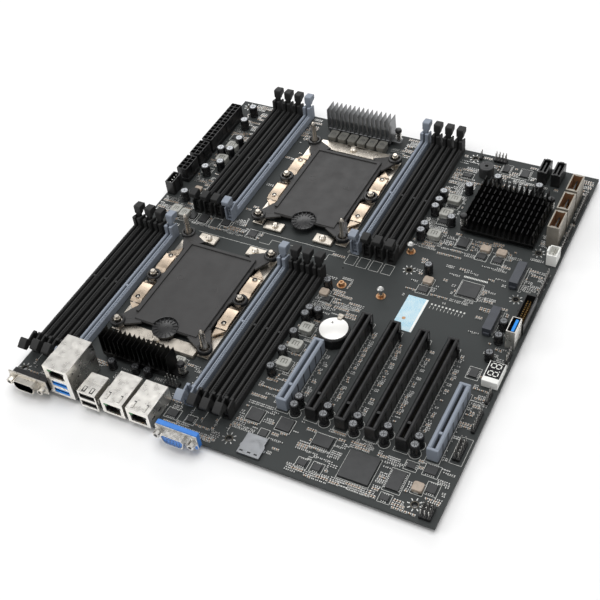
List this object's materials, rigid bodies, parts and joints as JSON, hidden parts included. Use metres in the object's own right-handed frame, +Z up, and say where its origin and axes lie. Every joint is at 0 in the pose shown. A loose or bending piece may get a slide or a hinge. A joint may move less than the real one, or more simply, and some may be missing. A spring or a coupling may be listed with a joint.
{
  "type": "server motherboard",
  "caption": "Server motherboard: black circuit board with processor sockets, banks of memory slots with hinged latches, expansion slots, heatsinks and edge connectors.",
  "frame": {"origin": "centre of the bare board's underside", "axes": "+X along the edge that carries the outside ports, +Y from that edge into the board, +Z up through the components"},
  "size_m": [0.3048, 0.3427, 0.0313],
  "materials": {
    "solder_mask": "matte black solder mask on glass-fibre laminate",
    "black_plastic": "moulded black connector plastic",
    "matte_black_plastic": "fine-grained black cover plastic",
    "slate_plastic": "moulded blue-grey connector plastic",
    "dark_resin": "dark liquid-crystal polymer",
    "blue_plastic": "bright blue moulded plastic",
    "nickel_steel": "stamped steel with a warm nickel plating",
    "plated_steel": "bright tin-plated sheet steel",
    "tin_steel": "dull tan-tinted tin-plated sheet steel",
    "cell_steel": "satin nickel-plated steel can",
    "black_aluminium": "black anodised extrusion",
    "grey_aluminium": "dark grey anodised extrusion"
  },
  "bodies": {
    "board": {"pcb": "solder_mask", "dimm_bank_front_left": "black_plastic", "dimm_bank_front_right": "black_plastic", "dimm_bank_rear_left": "black_plastic", "dimm_bank_rear_right": "black_plastic", "socket_frame_front": "nickel_steel", "socket_frame_rear": "nickel_steel", "socket_body_front": "dark_resin", "socket_body_rear": "dark_resin", "vrm_heatsink_front": "black_aluminium", "vrm_heatsink_rear": "grey_aluminium", "chipset_heatsink": "black_aluminium", "power_24_pin": "black_plastic", "power_8_pin_far": "black_plastic", "power_8_pin_near": "black_plastic", "serial_port": "plated_steel", "lan_usb_stack": "plated_steel", "usb_stack": "plated_steel", "lan_port_pair": "plated_steel", "vga_port": "blue_plastic", "battery_holder": "black_plastic", "pcie_x8_left": "slate_plastic", "pcie_x8_right": "slate_plastic", "pcie_x16_bank": "black_plastic", "storage_port_bank": "tin_steel"},
    "latch_fl_1_near": {"latch_fl_1_near": "black_plastic"},
    "latch_fl_1_far": {"latch_fl_1_far": "black_plastic"},
    "latch_fl_2_near": {"latch_fl_2_near": "black_plastic"},
    "latch_fl_2_far": {"latch_fl_2_far": "black_plastic"},
    "latch_fl_3_near": {"latch_fl_3_near": "black_plastic"},
    "latch_fl_3_far": {"latch_fl_3_far": "black_plastic"},
    "latch_fl_4_near": {"latch_fl_4_near": "slate_plastic"},
    "latch_fl_4_far": {"latch_fl_4_far": "slate_plastic"},
    "latch_fr_1_near": {"latch_fr_1_near": "slate_plastic"},
    "latch_fr_1_far": {"latch_fr_1_far": "slate_plastic"},
    "latch_fr_2_near": {"latch_fr_2_near": "black_plastic"},
    "latch_fr_2_far": {"latch_fr_2_far": "black_plastic"},
    "latch_fr_3_near": {"latch_fr_3_near": "black_plastic"},
    "latch_fr_3_far": {"latch_fr_3_far": "black_plastic"},
    "latch_fr_4_near": {"latch_fr_4_near": "black_plastic"},
    "latch_fr_4_far": {"latch_fr_4_far": "black_plastic"},
    "latch_rl_1_near": {"latch_rl_1_near": "black_plastic"},
    "latch_rl_1_far": {"latch_rl_1_far": "black_plastic"},
    "latch_rl_2_near": {"latch_rl_2_near": "black_plastic"},
    "latch_rl_2_far": {"latch_rl_2_far": "black_plastic"},
    "latch_rl_3_near": {"latch_rl_3_near": "black_plastic"},
    "latch_rl_3_far": {"latch_rl_3_far": "black_plastic"},
    "latch_rl_4_near": {"latch_rl_4_near": "slate_plastic"},
    "latch_rl_4_far": {"latch_rl_4_far": "slate_plastic"},
    "latch_rr_1_near": {"latch_rr_1_near": "slate_plastic"},
    "latch_rr_1_far": {"latch_rr_1_far": "slate_plastic"},
    "latch_rr_2_near": {"latch_rr_2_near": "black_plastic"},
    "latch_rr_2_far": {"latch_rr_2_far": "black_plastic"},
    "latch_rr_3_near": {"latch_rr_3_near": "black_plastic"},
    "latch_rr_3_far": {"latch_rr_3_far": "black_plastic"},
    "latch_rr_4_near": {"latch_rr_4_near": "black_plastic"},
    "latch_rr_4_far": {"latch_rr_4_far": "black_plastic"},
    "socket_cap_front": {"socket_cap_front": "matte_black_plastic"},
    "socket_cap_rear": {"socket_cap_rear": "matte_black_plastic"},
    "coin_cell": {"coin_cell": "cell_steel"}
  },
  "joints": [
    {"name": "latch_fl_1_near_hinge", "type": "hinge", "parent": "board", "child": "latch_fl_1_near", "pos_m": [-0.1484, -0.1394, 0.0052], "axis": [1, 0, 0], "range_deg": [-28, 4]},
    {"name": "latch_fl_1_far_hinge", "type": "hinge", "parent": "board", "child": "latch_fl_1_far", "pos_m": [-0.1484, -0.0058, 0.0052], "axis": [-1, 0, 0], "range_deg": [0, 32]},
    {"name": "latch_fl_2_near_hinge", "type": "hinge", "parent": "board", "child": "latch_fl_2_near", "pos_m": [-0.139, -0.1394, 0.0052], "axis": [1, 0, 0], "range_deg": [-22, 10]},
    {"name": "latch_fl_2_far_hinge", "type": "hinge", "parent": "board", "child": "latch_fl_2_far", "pos_m": [-0.139, -0.0058, 0.0052], "axis": [-1, 0, 0], "range_deg": [0, 32]},
    {"name": "latch_fl_3_near_hinge", "type": "hinge", "parent": "board", "child": "latch_fl_3_near", "pos_m": [-0.1296, -0.1394, 0.0052], "axis": [1, 0, 0], "range_deg": [-22, 10]},
    {"name": "latch_fl_3_far_hinge", "type": "hinge", "parent": "board", "child": "latch_fl_3_far", "pos_m": [-0.1296, -0.0058, 0.0052], "axis": [-1, 0, 0], "range_deg": [0, 32]},
    {"name": "latch_fl_4_near_hinge", "type": "hinge", "parent": "board", "child": "latch_fl_4_near", "pos_m": [-0.1202, -0.1394, 0.0052], "axis": [1, 0, 0], "range_deg": [-22, 10]},
    {"name": "latch_fl_4_far_hinge", "type": "hinge", "parent": "board", "child": "latch_fl_4_far", "pos_m": [-0.1202, -0.0058, 0.0052], "axis": [-1, 0, 0], "range_deg": [0, 32]},
    {"name": "latch_fr_1_near_hinge", "type": "hinge", "parent": "board", "child": "latch_fr_1_near", "pos_m": [-0.0256, -0.1394, 0.0052], "axis": [1, 0, 0], "range_deg": [-22, 10]},
    {"name": "latch_fr_1_far_hinge", "type": "hinge", "parent": "board", "child": "latch_fr_1_far", "pos_m": [-0.0256, -0.0058, 0.0052], "axis": [-1, 0, 0], "range_deg": [0, 32]},
    {"name": "latch_fr_2_near_hinge", "type": "hinge", "parent": "board", "child": "latch_fr_2_near", "pos_m": [-0.0162, -0.1394, 0.0052], "axis": [1, 0, 0], "range_deg": [-22, 10]},
    {"name": "latch_fr_2_far_hinge", "type": "hinge", "parent": "board", "child": "latch_fr_2_far", "pos_m": [-0.0162, -0.0058, 0.0052], "axis": [-1, 0, 0], "range_deg": [0, 32]},
    {"name": "latch_fr_3_near_hinge", "type": "hinge", "parent": "board", "child": "latch_fr_3_near", "pos_m": [-0.0068, -0.1394, 0.0052], "axis": [1, 0, 0], "range_deg": [-22, 10]},
    {"name": "latch_fr_3_far_hinge", "type": "hinge", "parent": "board", "child": "latch_fr_3_far", "pos_m": [-0.0068, -0.0058, 0.0052], "axis": [-1, 0, 0], "range_deg": [0, 32]},
    {"name": "latch_fr_4_near_hinge", "type": "hinge", "parent": "board", "child": "latch_fr_4_near", "pos_m": [0.0026, -0.1394, 0.0052], "axis": [1, 0, 0], "range_deg": [-22, 10]},
    {"name": "latch_fr_4_far_hinge", "type": "hinge", "parent": "board", "child": "latch_fr_4_far", "pos_m": [0.0026, -0.0058, 0.0052], "axis": [-1, 0, 0], "range_deg": [0, 32]},
    {"name": "latch_rl_1_near_hinge", "type": "hinge", "parent": "board", "child": "latch_rl_1_near", "pos_m": [-0.1168, 0.0276, 0.0052], "axis": [1, 0, 0], "range_deg": [0, 32]},
    {"name": "latch_rl_1_far_hinge", "type": "hinge", "parent": "board", "child": "latch_rl_1_far", "pos_m": [-0.1168, 0.1612, 0.0052], "axis": [-1, 0, 0], "range_deg": [0, 32]},
    {"name": "latch_rl_2_near_hinge", "type": "hinge", "parent": "board", "child": "latch_rl_2_near", "pos_m": [-0.1074, 0.0276, 0.0052], "axis": [1, 0, 0], "range_deg": [0, 32]},
    {"name": "latch_rl_2_far_hinge", "type": "hinge", "parent": "board", "child": "latch_rl_2_far", "pos_m": [-0.1074, 0.1612, 0.0052], "axis": [-1, 0, 0], "range_deg": [0, 32]},
    {"name": "latch_rl_3_near_hinge", "type": "hinge", "parent": "board", "child": "latch_rl_3_near", "pos_m": [-0.098, 0.0276, 0.0052], "axis": [1, 0, 0], "range_deg": [0, 32]},
    {"name": "latch_rl_3_far_hinge", "type": "hinge", "parent": "board", "child": "latch_rl_3_far", "pos_m": [-0.098, 0.1612, 0.0052], "axis": [-1, 0, 0], "range_deg": [0, 32]},
    {"name": "latch_rl_4_near_hinge", "type": "hinge", "parent": "board", "child": "latch_rl_4_near", "pos_m": [-0.0886, 0.0276, 0.0052], "axis": [1, 0, 0], "range_deg": [0, 32]},
    {"name": "latch_rl_4_far_hinge", "type": "hinge", "parent": "board", "child": "latch_rl_4_far", "pos_m": [-0.0886, 0.1612, 0.0052], "axis": [-1, 0, 0], "range_deg": [0, 32]},
    {"name": "latch_rr_1_near_hinge", "type": "hinge", "parent": "board", "child": "latch_rr_1_near", "pos_m": [0.0152, 0.0276, 0.0052], "axis": [1, 0, 0], "range_deg": [0, 32]},
    {"name": "latch_rr_1_far_hinge", "type": "hinge", "parent": "board", "child": "latch_rr_1_far", "pos_m": [0.0152, 0.1612, 0.0052], "axis": [-1, 0, 0], "range_deg": [0, 32]},
    {"name": "latch_rr_2_near_hinge", "type": "hinge", "parent": "board", "child": "latch_rr_2_near", "pos_m": [0.0246, 0.0276, 0.0052], "axis": [1, 0, 0], "range_deg": [0, 32]},
    {"name": "latch_rr_2_far_hinge", "type": "hinge", "parent": "board", "child": "latch_rr_2_far", "pos_m": [0.0246, 0.1612, 0.0052], "axis": [-1, 0, 0], "range_deg": [0, 32]},
    {"name": "latch_rr_3_near_hinge", "type": "hinge", "parent": "board", "child": "latch_rr_3_near", "pos_m": [0.034, 0.0276, 0.0052], "axis": [1, 0, 0], "range_deg": [0, 32]},
    {"name": "latch_rr_3_far_hinge", "type": "hinge", "parent": "board", "child": "latch_rr_3_far", "pos_m": [0.034, 0.1612, 0.0052], "axis": [-1, 0, 0], "range_deg": [0, 32]},
    {"name": "latch_rr_4_near_hinge", "type": "hinge", "parent": "board", "child": "latch_rr_4_near", "pos_m": [0.0434, 0.0276, 0.0052], "axis": [1, 0, 0], "range_deg": [0, 32]},
    {"name": "latch_rr_4_far_hinge", "type": "hinge", "parent": "board", "child": "latch_rr_4_far", "pos_m": [0.0434, 0.1612, 0.0052], "axis": [-1, 0, 0], "range_deg": [0, 32]},
    {"name": "socket_cap_front_lift", "type": "slide", "parent": "board", "child": "socket_cap_front", "axis": [0, 0, 1], "range_m": [0, 0.03]},
    {"name": "socket_cap_rear_lift", "type": "slide", "parent": "board", "child": "socket_cap_rear", "axis": [0, 0, 1], "range_m": [0, 0.03]},
    {"name": "coin_cell_lift", "type": "slide", "parent": "board", "child": "coin_cell", "axis": [0, 0, 1], "range_m": [0, 0.012]}
  ]
}
